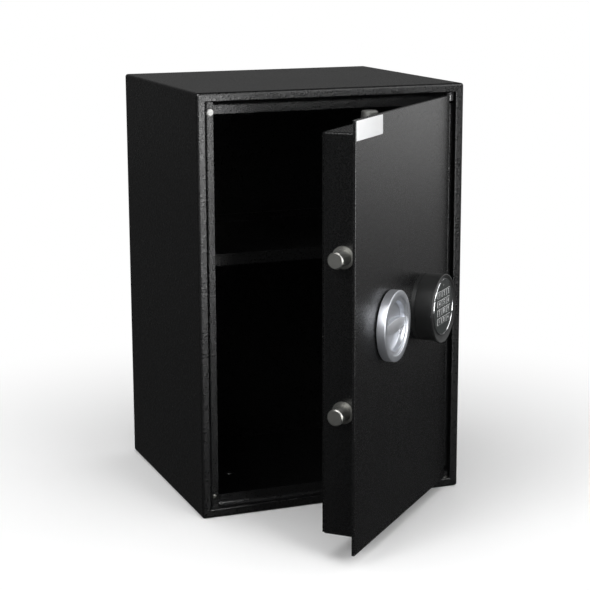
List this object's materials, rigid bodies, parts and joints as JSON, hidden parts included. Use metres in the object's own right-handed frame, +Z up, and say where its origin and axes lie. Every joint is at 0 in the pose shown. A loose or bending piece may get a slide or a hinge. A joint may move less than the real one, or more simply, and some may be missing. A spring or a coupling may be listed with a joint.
{
  "type": "electronic safe",
  "caption": "Steel cabinet safe with a shelf, a hinged door with a turn knob, round bolts, a bolt work and a round electronic keypad.",
  "frame": {"origin": "middle of the underside of the cabinet, on the floor", "axes": "+Z up, +X to the right seen from the front, +Y from the front to the back; the door stands 44.5 degrees open at rest"},
  "size_m": [0.4, 0.6003, 0.6],
  "materials": {
    "powder_coat": "black powder coat, fine texture",
    "door_coat": "black powder coat, fine texture, half gloss",
    "zinc_steel": "zinc plated",
    "bright_steel": "turned and nickel plated",
    "knob_alloy": "satin with a bright edge",
    "bearing_brass": "turned",
    "lock_casting": "cast, dull",
    "cable_sheath": "black sheath",
    "keypad_plastic": "fine grained black",
    "face_plastic": "satin black",
    "face_ring": "polished",
    "lens": "smoked, unlit",
    "key_plastic": "satin, white printed number and frame",
    "mat_rubber": "soft silicone",
    "board_laminate": "green lacquer",
    "battery_case": "lacquered",
    "white_cap": "soft white",
    "label_white": "bare white film"
  },
  "bodies": {
    "cabinet": {"cabinet_shell": "powder_coat", "back_panel": "powder_coat", "frame_left": "powder_coat", "frame_right": "powder_coat", "frame_top": "powder_coat", "frame_bottom": "powder_coat", "hinge_sockets": "powder_coat", "shelf": "powder_coat", "shelf_supports": "zinc_steel", "door_buffer": "white_cap", "jamb_screw": "zinc_steel"},
    "door": {"door_plate": "door_coat", "door_pan": "door_coat", "rear_cover": "powder_coat", "cover_screws": "zinc_steel", "door_label": "label_white", "hinge_brackets": "door_coat", "hinge_pins": "zinc_steel", "hinge_washers": "zinc_steel", "dog_bar": "zinc_steel", "bolt_bushes": "bright_steel", "spindle_bush": "bearing_brass", "hard_plate": "zinc_steel", "lock_body": "lock_casting", "lock_cover": "lock_casting", "lock_screws": "zinc_steel", "lock_cable": "cable_sheath", "guide_studs": "zinc_steel", "keypad_base": "keypad_plastic", "keypad_screws": "zinc_steel", "keypad_battery": "battery_case", "keypad_board": "board_laminate", "key_mat": "mat_rubber", "keypad_housing": "keypad_plastic", "keypad_face": "face_plastic", "keypad_ring": "face_ring", "led_lens": "lens"},
    "knob": {"turn_knob": "knob_alloy", "spindle": "zinc_steel", "cam_disc": "zinc_steel", "spindle_clip": "zinc_steel"},
    "carriage": {"bolt_carriage": "zinc_steel", "side_bolts": "bright_steel"},
    "top_bolt": {"top_bolt": "bright_steel", "top_rod": "zinc_steel"},
    "bottom_bolt": {"bottom_bolt": "bright_steel", "bottom_rod": "zinc_steel"},
    "lock_bolt": {"lock_bolt": "zinc_steel"},
    "key_1": {"key_1": "key_plastic"},
    "key_2": {"key_2": "key_plastic"},
    "key_3": {"key_3": "key_plastic"},
    "key_4": {"key_4": "key_plastic"},
    "key_5": {"key_5": "key_plastic"},
    "key_6": {"key_6": "key_plastic"},
    "key_7": {"key_7": "key_plastic"},
    "key_8": {"key_8": "key_plastic"},
    "key_9": {"key_9": "key_plastic"},
    "key_10": {"key_10": "key_plastic"},
    "key_11": {"key_11": "key_plastic"},
    "key_12": {"key_12": "key_plastic"}
  },
  "joints": [
    {"name": "door_hinge", "type": "hinge", "parent": "cabinet", "child": "door", "pos_m": [0.18, -0.168, 0], "axis": [0, 0, 1], "range_deg": [-44.5, 60.5]},
    {"name": "knob_turn", "type": "hinge", "parent": "door", "child": "knob", "pos_m": [0.00804, -0.3447, 0.3], "axis": [-0.7009, 0.7133, 0], "range_deg": [0, 90]},
    {"name": "carriage_slide", "type": "slide", "parent": "door", "child": "carriage", "axis": [0.7133, 0.7009, 0], "range_m": [0, 0.0265]},
    {"name": "top_bolt_slide", "type": "slide", "parent": "door", "child": "top_bolt", "axis": [0, 0, -1], "range_m": [0, 0.018]},
    {"name": "bottom_bolt_slide", "type": "slide", "parent": "door", "child": "bottom_bolt", "axis": [0, 0, 1], "range_m": [0, 0.018]},
    {"name": "lock_bolt_slide", "type": "slide", "parent": "door", "child": "lock_bolt", "axis": [0, 0, 1], "range_m": [0, 0.008]},
    {"name": "key_1_press", "type": "slide", "parent": "door", "child": "key_1", "axis": [-0.7009, 0.7133, 0], "range_m": [0, 0.0008], "stiffness_N_per_m": 500, "springref_m": -0.001},
    {"name": "key_2_press", "type": "slide", "parent": "door", "child": "key_2", "axis": [-0.7009, 0.7133, 0], "range_m": [0, 0.0008], "stiffness_N_per_m": 500, "springref_m": -0.001},
    {"name": "key_3_press", "type": "slide", "parent": "door", "child": "key_3", "axis": [-0.7009, 0.7133, 0], "range_m": [0, 0.0008], "stiffness_N_per_m": 500, "springref_m": -0.001},
    {"name": "key_4_press", "type": "slide", "parent": "door", "child": "key_4", "axis": [-0.7009, 0.7133, 0], "range_m": [0, 0.0008], "stiffness_N_per_m": 500, "springref_m": -0.001},
    {"name": "key_5_press", "type": "slide", "parent": "door", "child": "key_5", "axis": [-0.7009, 0.7133, 0], "range_m": [0, 0.0008], "stiffness_N_per_m": 500, "springref_m": -0.001},
    {"name": "key_6_press", "type": "slide", "parent": "door", "child": "key_6", "axis": [-0.7009, 0.7133, 0], "range_m": [0, 0.0008], "stiffness_N_per_m": 500, "springref_m": -0.001},
    {"name": "key_7_press", "type": "slide", "parent": "door", "child": "key_7", "axis": [-0.7009, 0.7133, 0], "range_m": [0, 0.0008], "stiffness_N_per_m": 500, "springref_m": -0.001},
    {"name": "key_8_press", "type": "slide", "parent": "door", "child": "key_8", "axis": [-0.7009, 0.7133, 0], "range_m": [0, 0.0008], "stiffness_N_per_m": 500, "springref_m": -0.001},
    {"name": "key_9_press", "type": "slide", "parent": "door", "child": "key_9", "axis": [-0.7009, 0.7133, 0], "range_m": [0, 0.0008], "stiffness_N_per_m": 500, "springref_m": -0.001},
    {"name": "key_10_press", "type": "slide", "parent": "door", "child": "key_10", "axis": [-0.7009, 0.7133, 0], "range_m": [0, 0.0008], "stiffness_N_per_m": 500, "springref_m": -0.001},
    {"name": "key_11_press", "type": "slide", "parent": "door", "child": "key_11", "axis": [-0.7009, 0.7133, 0], "range_m": [0, 0.0008], "stiffness_N_per_m": 500, "springref_m": -0.001},
    {"name": "key_12_press", "type": "slide", "parent": "door", "child": "key_12", "axis": [-0.7009, 0.7133, 0], "range_m": [0, 0.0008], "stiffness_N_per_m": 500, "springref_m": -0.001}
  ],
  "couplings": [
    {"joint": "carriage_slide", "follows": "knob_turn", "m_per_rad": 0.01687},
    {"joint": "top_bolt_slide", "follows": "knob_turn", "m_per_rad": 0.011459},
    {"joint": "bottom_bolt_slide", "follows": "knob_turn", "m_per_rad": 0.011459},
    {"joint": "lock_bolt_slide", "follows": "knob_turn", "m_per_rad": 0.005092}
  ]
}
